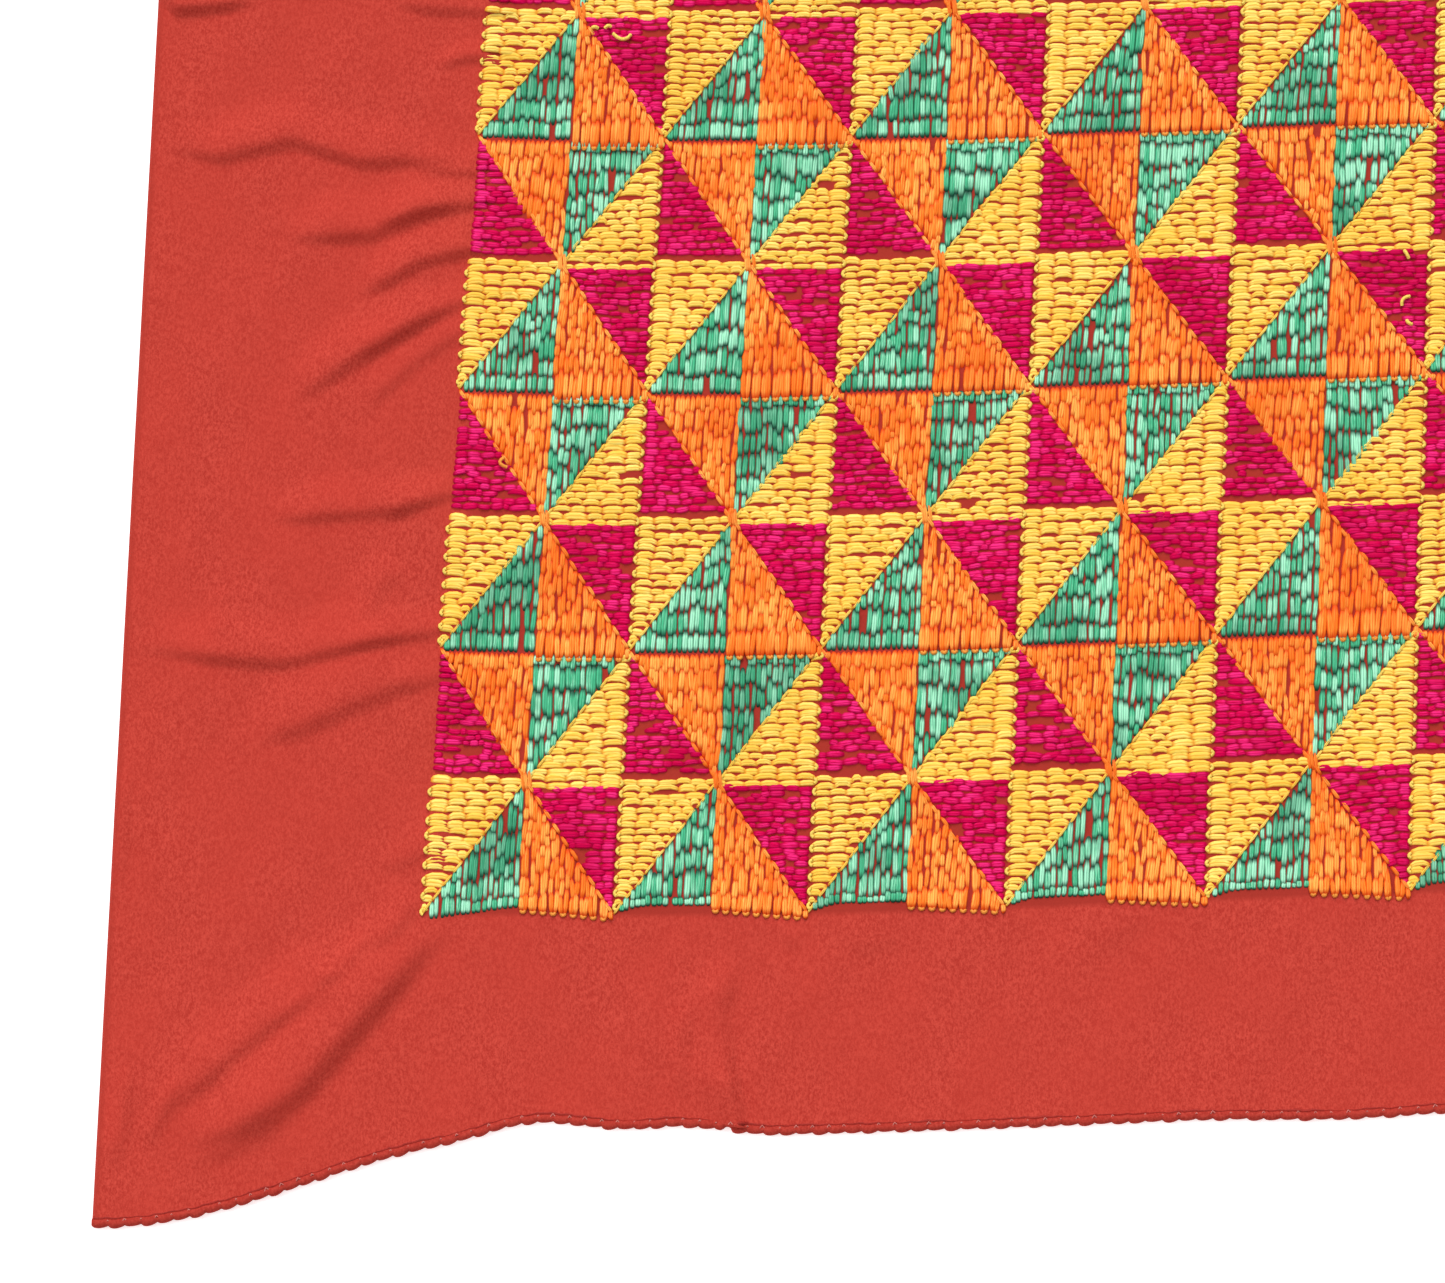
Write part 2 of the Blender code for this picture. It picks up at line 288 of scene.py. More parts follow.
FOLDS = list(CORNER_FOLDS) + corner_diagonals() + further_folds()
CREASES = list(CORNER_CREASES) + further_creases()


SHADE = (0.4, -0.9)         # the way that the steep sides of the folds face


def raised_by(folds, x, y):
    """How high folds raise the cloth over points of the plan.

    A fold rises gently on one side and drops steeply on the other, which is the one in SHADE's direction,
    and its path runs along the middle of the drop.
    """
    highest = np.zeros_like(x)
    for fold in folds:
        path = np.array(fold.path, float)
        whole = path[-1] - path[0]
        lean = 0.6 + 0.4 * abs(whole[0]) / np.hypot(*whole)
        turned = 1.0 if whole[0] * SHADE[1] - whole[1] * SHADE[0] < 0 else -1.0
        rise = fold.half_width * (1.0 + 0.6 * lean)
        drop = fold.half_width * (1.0 - 0.48 * lean)
        crest = 0.5 * drop * lean
        low, high = path.min(0) - rise - crest, path.max(0) + rise + crest
        picked = np.nonzero((x > low[0]) & (x < high[0]) & (y > low[1]) & (y < high[1]))[0]
        if not len(picked):
            continue
        px, py = x[picked], y[picked]
        runs = np.hypot(*np.diff(path, axis=0).T)
        nearest = np.full(len(picked), np.inf)
        height = np.zeros(len(picked))
        done = 0.0
        for (ax, ay), (bx, by), run in zip(path, path[1:], runs):
            along = np.clip(((px - ax) * (bx - ax) + (py - ay) * (by - ay)) / run ** 2, 0.0, 1.0)
            away = np.hypot(ax + along * (bx - ax) - px, ay + along * (by - ay) - py)
            side = ((bx - ax) * (py - ay) - (by - ay) * (px - ax)) * turned
            over = np.where(side > 0, away, -away) - crest
            share = (done + along * run) / runs.sum()
            taper = ease(np.minimum(share, 1.0 - share) * 3.5)
            here = fold.height * taper * bell(over / np.where(over > 0, rise, drop) / (0.6 + 0.4 * taper))
            height = np.where(away < nearest, here, height)
            nearest = np.minimum(nearest, away)
            done += run
        highest[picked] = np.maximum(highest[picked], height)
    return highest


def undulation(x, y):
    """The slow unevenness of plain cloth that was washed and laid out by hand."""
    waves = ((61.0, 47.0, 0.3, 0.09), (37.0, -83.0, 1.9, 0.09), (-29.0, 41.0, 4.1, 0.09), (23.0, 27.0, 2.6, 0.09),
             (13.0, -19.0, 0.9, 0.035), (-17.0, -9.0, 3.3, 0.030))
    total = np.zeros_like(x)
    for across, along, phase, height in waves:
        total += height * np.sin(math.tau * (x / across + y / along) + phase)
    return total


def border_share(s, t):
    """1 on the plain borders, falling to 0 within a short way of the embroidered field's edge."""
    inside = np.minimum(np.minimum(s, WIDTH - s) - SIDE_BORDER, np.minimum(t, LENGTH - t) - END_BORDER)
    return ease(1.0 - inside / 10.0)


def upper_face(s, t):
    """The height of the cloth's upper face, with its folds and creases, over points of the plan."""
    x, y = place(s, t)
    return raised_by(FOLDS, x, y) + CLOTH_THICK + raised_by(CREASES, x, y) + undulation(x, y) * border_share(s, t)


# Meshes

def from_corner(x, y, z):
    """Points in the frame's metres, from millimetres measured at the near left corner."""
    lowest_hem = place(np.linspace(0.0, WIDTH, 64), np.full(64, CLOTH_EDGE))[1].min()
    low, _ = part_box("ground_cloth")
    return np.stack([low[0] + x * MM, low[1] + (y - lowest_hem) * MM, z * MM], axis=-1)


def new_mesh(name, points, faces, material, maps=None, smooth=True):
    """An object from arrays of points and of faces, with maps that give (u, v) for each point."""
    mesh = bpy.data.meshes.new(name)
    mesh.vertices.add(len(points))
    mesh.vertices.foreach_set("co", points.astype(np.float32).ravel())
    mesh.loops.add(faces.size)
    mesh.loops.foreach_set("vertex_index", faces.astype(np.int32).ravel())
    mesh.polygons.add(len(faces))
    mesh.polygons.foreach_set("loop_start", np.arange(0, faces.size, faces.shape[1], dtype=np.int32))
    mesh.polygons.foreach_set("use_smooth", np.full(len(faces), smooth))
    mesh.update(calc_edges=True)
    for map_name, uv in (maps or {}).items():
        layer = mesh.uv_layers.new(name=map_name)
        layer.data.foreach_set("uv", uv[faces.ravel()].astype(np.float32).ravel())
    mesh.validate()
    mesh.materials.append(material)
    piece = bpy.data.objects.new(name, mesh)
    bpy.context.scene.collection.objects.link(piece)
    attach(piece, BODY)
    return piece


def grid_quads(rows, columns, first=0):
    """The faces of a grid of points that were listed row by row."""
    corner = first + np.arange(rows - 1)[:, None] * columns + np.arange(columns - 1)[None, :]
    corner = corner.ravel()
    return np.stack([corner, corner + 1, corner + columns + 1, corner + columns], axis=1)


def plan_map(points):
    """A flat map of a piece, as it is seen from above."""
    low = points[:, :2].min(0)
    return (points[:, :2] - low) / (points[:, :2].max(0) - low).max()


def steps(*stretches):
    """Distances along a side of the cloth, from stretches of (end, spacing)."""
    marks = [0.0]
    for end, spacing in stretches:
        count = max(1, round((end - marks[-1]) / spacing))
        marks += list(np.linspace(marks[-1], end, count + 1)[1:])
    return np.array(marks)


# Materials

class Nodes:
    """A short way to write a material's nodes."""

    def __init__(self, name):
        self.material = bpy.data.materials.new(name)
        self.material.use_nodes = True
        self.tree = self.material.node_tree
        self.shader = self.tree.nodes["Principled BSDF"]

    def put(self, target, value):
        if isinstance(value, bpy.types.NodeSocket):
            self.tree.links.new(value, target)
        else:
            target.default_value = value

    def node(self, kind, settings=None, **inputs):
        made = self.tree.nodes.new(kind)
        for key, value in (settings or {}).items():
            setattr(made, key, value)
        for key, value in inputs.items():
            self.put(made.inputs[key.replace("_", " ")], value)
        return made

    def math(self, operation, first, second=0.0):
        made = self.tree.nodes.new("ShaderNodeMath")
        made.operation = operation
        self.put(made.inputs[0], first)
        self.put(made.inputs[1], second)
        return made.outputs[0]

    def spread(self, value, low, high, to_low=0.0, to_high=1.0):
        """A value moved smoothly from one range to another."""
        made = self.node("ShaderNodeMapRange", {"interpolation_type": "SMOOTHSTEP"}, Value=value)
        made.inputs["From Min"].default_value = low
        made.inputs["From Max"].default_value = high
        made.inputs["To Min"].default_value = to_low
        made.inputs["To Max"].default_value = to_high
        return made.outputs["Result"]

    def mix(self, share, first, second):
        made = self.tree.nodes.new("ShaderNodeMix")
        made.data_type = "RGBA"
        self.put(made.inputs[0], share)
        self.put(made.inputs[6], first)
        self.put(made.inputs[7], second)
        return made.outputs[2]

    def noise(self, vector, scale, detail=2.0, rough=0.5):
        made = self.node("ShaderNodeTexNoise", None, Vector=vector, Scale=scale, Detail=detail)
        made.inputs["Roughness"].default_value = rough
        return made.outputs["Fac"]

    def stretched(self, vector, sizes):
        """A vector divided by the given sizes, in metres."""
        made = self.node("ShaderNodeMapping", None, Vector=vector)
        made.inputs["Scale"].default_value = [1.0 / size for size in sizes]
        return made.outputs[0]

    def bump(self, height, distance, strength, normal=None):
        made = self.node("ShaderNodeBump", None, Height=height, Distance=distance, Strength=strength)
        if normal is not None:
            self.put(made.inputs["Normal"], normal)
        return made.outputs[0]


CREPE = (0.478, 0.042, 0.028)
CREPE_DEEP = (0.350, 0.023, 0.016)
CREPE_LIGHT = (0.585, 0.070, 0.048)
# Painted shade: the cloth darkens along the selvedges, where the edge rolls away from the light.
SELVEDGE_PAINTED_SHADE = 0.80
SHADE_BETWEEN_STITCHES = 0.74             # painted shade: the cloth is darker between the stitches, where the floss shades it


def crepe_material(name, shade=1.0, ground=False):
    """Red crepe: a fine uneven grain that runs slightly along the cloth, and a soft mottle.

    In the map Field of the ground cloth u is 1 where stitches cover it and v is 1 along the selvedges; both mark
    painted shade, between the stitches and along the edges as they roll away.
    """
    n = Nodes(name)
    place_in_object = n.node("ShaderNodeTexCoord").outputs["Object"]
    grain = n.noise(n.stretched(place_in_object, (0.0006, 0.0011, 0.001)), 1.0, 3.0, 0.6)
    fine = n.noise(n.stretched(place_in_object, (0.00032, 0.0005, 0.0005)), 1.0, 2.0, 0.6)
    mottle = n.noise(n.stretched(place_in_object, (0.018, 0.03, 0.02)), 1.0, 2.0, 0.5)
    tone = n.math("ADD", n.math("MULTIPLY", grain, 0.62), n.math("MULTIPLY", fine, 0.38))
    tone = n.spread(tone, 0.34, 0.66)
    deep, middle, light = [tuple(c * shade for c in colour) + (1.0,) for colour in (CREPE_DEEP, CREPE, CREPE_LIGHT)]
    colour = n.mix(tone, deep, light)
    colour = n.mix(n.spread(mottle, 0.3, 0.7, 0.25, 0.6), colour, middle)
    if ground:
        zones = n.node("ShaderNodeUVMap", {"uv_map": "Field"}).outputs[0]
        covered, selvedge, _ = n.node("ShaderNodeSeparateXYZ", None, Vector=zones).outputs
        # Painted shade: the cloth is darker between the stitches.
        colour = n.mix(covered, colour, tuple(c * SHADE_BETWEEN_STITCHES for c in CREPE) + (1.0,))
        # Painted shade along the selvedges.
        colour = n.mix(selvedge, colour, tuple(c * SELVEDGE_PAINTED_SHADE for c in CREPE) + (1.0,))
    n.put(n.shader.inputs["Base Color"], colour)
    n.shader.inputs["Roughness"].default_value = 0.85
    n.shader.inputs["Specular IOR Level"].default_value = 0.08
    n.put(n.shader.inputs["Normal"], n.bump(tone, 0.00012, 0.5))
    return n.material


# deep is painted shade on the floss and glint its painted highlight; dip, edge and split set where the shade falls,
# and patchy how much whole patches are painted deeper.
Floss = namedtuple("Floss", "deep body glint shine split edge dip contrast level patchy")
FLOSS = {
    "yellow": Floss((0.72, 0.26, 0.014), (0.93, 0.580, 0.066), (0.98, 0.78, 0.19),
                    0.50, 0.70, 0.22, 0.24, 0.35, 0.12, 0.04),
    "green": Floss((0.003, 0.048, 0.027), (0.068, 0.500, 0.252), (0.42, 0.92, 0.62),
                   0.42, 0.50, 0.34, 0.34, 0.80, 0.12, 0.32),
    "orange": Floss((0.70, 0.058, 0.002), (0.91, 0.204, 0.016), (0.98, 0.47, 0.092),
                    0.45, 0.60, 0.28, 0.34, 0.55, 0.10, 0.22),
    "magenta": Floss((0.42, 0.0004, 0.040), (0.70, 0.0004, 0.079), (0.98, 0.030, 0.24),
                     0.42, 0.80, 0.42, 0.34, 0.70, 0.03, 0.35),
}


def floss_material(colour, ribbed):
    """Untwisted floss, from the map Thread: u counts stitches along the thread, v threads side by side.

    Each thread is two strands. Painted shade darkens the slit between them, the thread's sides and its ends,
    where it dips into the cloth, and painted highlights streak it along the fibres. Whole patches are painted
    lighter or deeper, as the floss shines one way or the other.
    """
    kind = FLOSS[colour]
    deep, body, glint = ((*shade, 1.0) for shade in (kind.deep, kind.body, kind.glint))
    n = Nodes(f"floss_{colour}_{'rows' if ribbed else 'stitches'}")
    thread = n.node("ShaderNodeUVMap", {"uv_map": "Thread"}).outputs[0]
    split = n.node("ShaderNodeSeparateXYZ", None, Vector=thread)
    u, v = split.outputs[0], split.outputs[1]
    if ribbed:
        number = n.math("FLOOR", v)
        start = n.node("ShaderNodeTexWhiteNoise", {"noise_dimensions": "1D"}, W=number).outputs["Value"]
        u = n.math("ADD", u, n.math("MULTIPLY", start, 0.7))
    along, across = n.math("FRACT", u), n.math("FRACT", v)
    whole = n.node("ShaderNodeCombineXYZ", None, X=n.math("FLOOR", u), Y=n.math("FLOOR", v)).outputs[0]
    chance = n.node("ShaderNodeTexWhiteNoise", {"noise_dimensions": "2D"}, Vector=whole).outputs["Value"]
    # Painted shade: darker at the ends, where the thread dips into the cloth, along its sides and in the slit
    # between its strands.
    end = n.spread(n.math("MINIMUM", along, n.math("SUBTRACT", 1.0, along)), 0.2 * kind.dip, kind.dip)
    side = n.spread(n.math("MINIMUM", across, n.math("SUBTRACT", 1.0, across)), 0.0, kind.edge, 0.15)
    slit = n.spread(n.math("ABSOLUTE", n.math("SUBTRACT", across, 0.5)), 0.01, 0.11, 1.0 - kind.split)
    fibre_place = n.node("ShaderNodeCombineXYZ", None, X=n.math("MULTIPLY", u, 1.6),
                         Y=n.math("MULTIPLY", v, 6.0)).outputs[0]
    fibre = n.noise(fibre_place, 1.0, 3.0, 0.65)
    place_in_object = n.node("ShaderNodeTexCoord").outputs["Object"]
    patch = n.noise(n.stretched(place_in_object, (0.022, 0.022, 0.022)), 1.0, 2.0, 0.6)
    # Painted highlights: fibre streaks and a random tone for each stitch lift the colour toward glint, more in
    # lighter patches.
    bright = n.math("ADD", n.spread(fibre, 0.36, 0.66, 0.0, 0.80),
                    n.spread(chance, 0.0, 1.0, -0.6 * kind.contrast, kind.contrast))
    bright = n.math("MULTIPLY", bright, n.spread(patch, 0.32, 0.62, 0.45, 1.15))
    strand = n.mix(n.math("MAXIMUM", bright, 0.0), body, glint)
    # Painted shade in the darker fibre streaks and in whole darker patches.
    strand = n.mix(n.spread(fibre, 0.22, 0.42, 0.45, 0.0), strand, deep)
    strand = n.mix(n.spread(patch, 0.36, 0.52, kind.patchy, 0.0), strand, deep)
    # Where the painted shade falls, the colour goes to deep.
    unshaded = n.math("MULTIPLY", n.math("MULTIPLY", end, side), slit)
    n.put(n.shader.inputs["Base Color"], n.mix(unshaded, deep, strand))
    n.shader.inputs["Roughness"].default_value = kind.shine
    n.shader.inputs["Specular IOR Level"].default_value = kind.level
    normal = n.bump(fibre, 0.0001, 0.6)
    if ribbed:
        normal = n.bump(side, 0.0005, 0.8, normal)
    n.put(n.shader.inputs["Normal"], normal)
    return n.material


def thread_material(name, colour):
    """Thin sewing thread with a slight twist."""
    n = Nodes(name)
    place_in_object = n.node("ShaderNodeTexCoord").outputs["Object"]
    twist = n.noise(n.stretched(place_in_object, (0.0004, 0.0004, 0.0004)), 1.0, 2.0)
    darker = (*(c * 0.7 for c in colour), 1.0)
    n.put(n.shader.inputs["Base Color"], n.mix(n.spread(twist, 0.3, 0.7), darker, (*colour, 1.0)))
    n.shader.inputs["Roughness"].default_value = 0.6
    n.shader.inputs["Specular IOR Level"].default_value = 0.12
    return n.material


# The ground cloth

Region = namedtuple("Region", "left right low high across along")
FIELD_RIGHT = WIDTH - SIDE_BORDER
FIELD_FAR = LENGTH - END_BORDER
SEEN_ACROSS = 385.0
SEEN_ALONG = 322.0
TOP_REGIONS = (
    Region(0.0, SIDE_BORDER, 0.0, SEEN_ALONG, 1.5, 1.0),
    Region(SIDE_BORDER, SEEN_ACROSS, 0.0, END_BORDER, 1.6, 1.4),
    Region(SEEN_ACROSS, WIDTH, 0.0, END_BORDER, 4.5, 4.0),
    Region(0.0, SIDE_BORDER, SEEN_ALONG, LENGTH, 4.0, 4.5),
    Region(FIELD_RIGHT, WIDTH, END_BORDER, LENGTH, 4.0, 4.5),
    Region(SIDE_BORDER, FIELD_RIGHT, FIELD_FAR, LENGTH, 4.5, 4.0),
    Region(SIDE_BORDER, FIELD_RIGHT, END_BORDER, FIELD_FAR, 16.0, 16.0),
)
UNDER_REGIONS = (
    Region(0.0, SIDE_BORDER, 0.0, LENGTH, 4.0, 4.5),
    Region(FIELD_RIGHT, WIDTH, 0.0, LENGTH, 4.0, 4.5),
    Region(SIDE_BORDER, FIELD_RIGHT, 0.0, END_BORDER, 4.5, 4.0),
    Region(SIDE_BORDER, FIELD_RIGHT, FIELD_FAR, LENGTH, 4.5, 4.0),
    Region(SIDE_BORDER, FIELD_RIGHT, END_BORDER, FIELD_FAR, 26.0, 26.0),
)
ROUNDING = 0.8
SELVEDGE = 0.9


def cloth_rim():
    """Points around the cloth, from the near left corner: finer where the picture shows them."""
    fine, coarse = 1.5, 4.5
    across = steps((SEEN_ACROSS, fine), (WIDTH, coarse))
    along = steps((SEEN_ALONG, fine), (LENGTH, coarse))
    sides = (
        (across, np.zeros_like(across)),
        (np.full_like(along, WIDTH), along),
        (across[::-1], np.full_like(across, LENGTH)),
        (np.zeros_like(along), along[::-1]),
    )
    return np.concatenate([np.stack([s, t], axis=1)[:-1] for s, t in sides])


def cloth_layer(rim, regions):
    """Points and triangles over the whole plan, the rim's points first."""
    found = [rim]
    for region in regions:
        columns = max(1, round((region.right - region.left) / region.across))
        rows = max(1, round((region.high - region.low) / region.along))
        s = region.left + (np.arange(columns) + 0.5) * (region.right - region.left) / columns
        t = region.low + (np.arange(rows) + 0.5) * (region.high - region.low) / rows
        found.append(np.stack(np.meshgrid(s, t), axis=-1).reshape(-1, 2))
    along = rim[rim[:, 0] == 0.0][:, 1]
    along = along[(along > 2.0) & (along < LENGTH - 2.0)]
    for s in (ROUNDING, WIDTH - ROUNDING):
        found.append(np.stack([np.full_like(along, s), along], axis=1))
    points = np.concatenate(found)
    spots, _, triangles, *_ = delaunay_2d_cdt([tuple(p) for p in points.tolist()], [], [], 0, 1e-6)
    assert len(spots) == len(points)
    triangles = np.array(triangles)
    a, b, c = (points[triangles[:, k]] for k in range(3))
    turns = (b[:, 0] - a[:, 0]) * (c[:, 1] - a[:, 1]) - (b[:, 1] - a[:, 1]) * (c[:, 0] - a[:, 0])
    triangles[turns < 0] = triangles[turns < 0][:, ::-1]
    return points, triangles[np.abs(turns) > 1e-9]


def ground_cloth():
    """Both faces of the cloth, closed around its edge, with the folds and the shallow creases."""
    rim = cloth_rim()
    points, faces, maps = [], [], []
    for regions, upper in ((TOP_REGIONS, True), (UNDER_REGIONS, False)):
        plan, triangles = cloth_layer(rim, regions)
        s, t = plan.T
        t = HEM_RADIUS + t * (LENGTH - 2 * HEM_RADIUS) / LENGTH
        x, y = place(s, t)
        z = raised_by(FOLDS, x, y)
        inside = np.minimum(np.minimum(s, WIDTH - s) - SIDE_BORDER, np.minimum(t, LENGTH - t) - END_BORDER)
        if upper:
            rounding = np.sqrt(np.clip(np.minimum(s, WIDTH - s) / ROUNDING, 0.0, 1.0))
            z = z + (upper_face(s, t) - z) * (0.25 + 0.75 * rounding)
        faces.append((triangles if upper else triangles[:, ::-1]) + sum(map(len, points)))
        points.append(from_corner(x, y, z))
        # How far into the painted shade along the selvedges a point lies.
        selvedge = np.clip(1.0 - (np.minimum(s, WIDTH - s) - ROUNDING) / SELVEDGE, 0.0, 1.0)
        # u of the map Field marks the painted shade under the stitches, v the painted shade along the selvedges.
        maps.append(np.stack([np.clip(inside / 0.5 + 0.5, 0.0, 1.0), 0.8 * selvedge], axis=1))
    count, below = len(rim), len(points[0])
    this = np.arange(count)
    after = (this + 1) % count
    faces.append(np.stack([below + this, below + after, after], axis=1))
    faces.append(np.stack([below + this, after, this], axis=1))
    points = np.concatenate(points)
    piece = new_mesh("ground_cloth_crepe", points, np.concatenate(faces),
                     crepe_material("red_crepe", ground=True),
                     {"OFBake": plan_map(points), "Field": np.concatenate(maps)})
    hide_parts("ground_cloth")
    return piece


# The embroidery

Half = namedtuple("Half", "colour i j vertical base_low hypotenuse")
Darning = namedtuple("Darning", "pitch length first width height taper arch overlap wander unruly tied "
                                "missing groove")
DARNING = {
    "yellow": Darning(1.80, 4.3, 1.00, 1.90, 0.68, 0.50, 0.74, 0.45, 0.14, 0.70, 0.35, 0.004, 0.45),
    "green": Darning(1.33, 5.7, 0.66, 1.66, 0.75, 0.32, 0.00, 0.62, 0.18, 0.95, 0.70, 0.020, 0.66),
    "orange": Darning(1.28, 4.9, 0.90, 1.66, 0.76, 0.22, 0.00, 0.90, 0.24, 1.10, 0.20, 0.003, 0.70),
    "magenta": Darning(1.62, 3.1, 1.00, 1.80, 0.80, 0.34, 0.12, 0.45, 0.24, 0.85, 0.20, 0.050, 0.40),
}
EDGE_THREAD = {"yellow": (0.75, 0.80), "orange": (1.10, 0.85)}

# Ends of floss that lie loose on the magenta beside the corner, in millimetres from it
Stray = namedtuple("Stray", "colour path")
STRAYS = (
    Stray("yellow", ((111.7, 307.9), (112.3, 308.0), (113.1, 307.8))),
    Stray("yellow", ((114.9, 307.9), (115.7, 308.4), (116.4, 308.3))),
    Stray("yellow", ((117.0, 306.5), (119.6, 304.9), (121.6, 306.4))),
    Stray("yellow", ((319.5, 255.1), (320.0, 254.1), (320.6, 253.1))),
    Stray("yellow", ((318.9, 240.7), (319.1, 242.3), (320.9, 243.2))),
    Stray("yellow", ((320.1, 236.9), (320.6, 236.1), (321.4, 235.9))),
    Stray("orange", ((93.4, 194.8), (92.4, 193.3), (94.2, 192.3))),
)


def half_cells(cells, bands):
    """The two triangles of each cell of the lattice.

    Green and orange threads run along the shawl, yellow and magenta ones across it. base_low says whether
    a triangle's straight side is the low one (the near side, or the left one), and the hypotenuse rises
    or falls to the right.
    """
    for j in bands:
        for i in cells:
            if j % 2 == 0 and i % 2 == 0:
                yield Half("yellow", i, j, False, True, "rises")
                yield Half("green", i, j, True, True, "rises")
            elif j % 2 == 0:
                yield Half("orange", i, j, True, True, "falls")
                yield Half("magenta", i, j, False, False, "falls")
            elif i % 2 == 0:
                yield Half("magenta", i, j, False, True, "falls")
                yield Half("orange", i, j, True, False, "falls")
            else:
                yield Half("green", i, j, True, False, "rises")
                yield Half("yellow", i, j, False, False, "rises")


def sides_of(half):
    """The length of a triangle's straight side that its threads start from, and their greatest reach."""
    return (CELL_WIDTH, BAND_HEIGHT) if half.vertical else (BAND_HEIGHT, CELL_WIDTH)


def in_plan(half, across, out):
    """A point of the plan, from its place along a triangle's base and its distance from that base."""
    left, low = SIDE_BORDER + half.i * CELL_WIDTH, END_BORDER + half.j * BAND_HEIGHT
    side, depth = sides_of(half)
    out = out if half.base_low else depth - out
    return (left + across, low + out) if half.vertical else (left + out, low + across)


def thread_reach(half, across):
    """How far a thread reaches from its triangle's base before it meets the hypotenuse."""
    side, depth = sides_of(half)
    widens = (half.hypotenuse == "rises") == half.base_low
    return depth * (across / side if widens else 1.0 - across / side)


def uneven(half, pair):
    """-1 to 1 by chance, and the same each time for two threads that turn into each other."""
    return math.sin(12.99 * half.i + 78.23 * half.j + 37.72 * pair)


def base_of(half, across, pair):
    """How far from its straight side a triangle's threads start.

    Where orange ends on the line between two bands, it hangs over the green below as uneven teeth. Along
    the near edge of the field the rows are drawn askew: green lies back and orange reaches out to its right.
    """
    side, _ = sides_of(half)
    share = across / side
    if half.j == 0 and half.colour == "orange":
        return 0.3 - 2.1 * share + 0.25 * uneven(half, pair)
    if half.j == 0 and half.colour == "green":
        return (3.0 * share - 1.5 if half.i == 0 else 1.6 * ease(3.0 * share) + 0.2) + 0.15 * uneven(half, pair)
    if half.colour == "orange":
        return -2.6 + 0.60 * uneven(half, pair) if half.base_low else 0.85
    if half.colour == "green":
        return -0.85 if half.base_low else 0.90
    return -0.25 + 0.25 * uneven(half, pair) if half.colour == "yellow" else 0.20


def edge_rows_of(half):
    """The stretch of a triangle's straight side that its threads fill.

    The last row of yellow runs on past the line below it, and magenta stops short of the line.
    """
    side, _ = sides_of(half)
    if half.colour == "magenta":
        return (2.1, side) if half.base_low else (0.1, side - 1.2)
    at_corner = half.i == 0 and half.j == 0
    if half.colour == "yellow":
        return (-1.2 if at_corner else 0.0, side + 0.6) if half.base_low else (-2.0, side)
    if half.colour == "green" and half.base_low:
        return (1.7 if at_corner else 1.2), side
    return 0.0, side


def threads_of(half):
    """Where a triangle's threads start along its straight side."""
    low, high = edge_rows_of(half)
    count = round((high - low) / DARNING[half.colour].pitch)
    return low + (np.arange(count) + 0.5) * (high - low) / count


def stitches_of(half, chance):
    """The stitches of one triangle, as rows of (s0, t0, s1, t1, width, height, arch, lift).

    The lift is how much higher a stitch begins than it ends, where it hangs over what lies below.
    """
    kind = DARNING[half.colour]
    side, _ = sides_of(half)
    phase, lean = chance.uniform(0.0, math.tau), chance.gauss(0.0, 0.02)
    longest_at = side if thread_reach(half, side) > 0.0 else 0.0
    full = chance.uniform(0.93, 1.07)
    teeth = 0.45 if half.colour == "orange" and half.base_low else 0.0
    found = []
    for number, across in enumerate(threads_of(half).tolist()):
        pair, in_pair = number // 2, 1.0 if number % 2 == 0 else -1.0
        if number % 2 == 0:
            shared = [chance.gauss(0.0, kind.unruly) for _ in range(12)]
        kept = min(max(across, 0.0), side)
        slant = lean * min(abs(across - longest_at) / 6.0, 1.0)
        stop = thread_reach(half, kept) - 0.1 + chance.uniform(-0.15, 0.15)
        mark, row = base_of(half, kept, pair) + chance.uniform(-0.10, 0.10), 0
        shift = 0.25 * (1.0 - kind.tied) * kind.length * ((number % 2) + chance.uniform(-0.3, 0.3))
        looped = half.colour == "yellow"
        aside = in_pair * (0.34 if looped else 0.22 if teeth else 0.06)
        while stop - mark > 0.8:
            wave = 0.5 * math.sin(phase + across * 0.5 + row * 1.3)
            goal = (row + kind.first) * kind.length * full + wave + shift * (1.0, 1.7, 2.0)[min(row, 2)]
            strayed = kind.tied * shared[row] + (1.0 - kind.tied) * chance.gauss(0.0, kind.unruly)
            goal += strayed * (0.30 if row == 0 else 1.0)
            if stop - goal < 0.40 * kind.length:
                goal = stop
            goal = min(max(goal, mark + 1.2), stop)
            begin = across + slant * mark + aside
            aside = 0.05 * in_pair + chance.gauss(0.0, kind.wander)
            finish = across + slant * goal + aside
            if chance.random() > kind.missing:
                past = kind.overlap * chance.uniform(0.6, 1.3)
                ends = in_plan(half, begin, mark - past * (row > 0))
                ends += in_plan(half, finish, goal + (past if goal < stop else 0.3))
                bowed = chance.uniform(0.7, 1.5) if number % 2 else chance.uniform(0.1, 0.9)
                found.append(ends + (kind.width * full * chance.uniform(0.76, 1.14),
                                     kind.height * chance.uniform(0.75, 1.20),
                                     kind.arch * bowed, teeth if row == 0 else 0.0))
            mark, row = goal, row + 1
    return found


def edge_thread_of(half, chance):
    """A finer thread worked along the hypotenuse, so that the diagonal is a clean line."""
    side, depth = sides_of(half)
    width, height = EDGE_THREAD[half.colour]
    length = math.hypot(side, depth)
    count = round(length / 4.0)
    found = []
    for k in range(count):
        a, b = k / count * side, (k + 0.96) / count * side
        a, b = a + chance.uniform(-0.1, 0.1), b + chance.uniform(-0.1, 0.1)
        reach_a, reach_b = (thread_reach(half, min(max(v, 0.0), side)) for v in (a, b))
        found.append(in_plan(half, a, reach_a - 0.1) + in_plan(half, b, reach_b - 0.1) + (width, height, 0.0, 0.0))
    return found


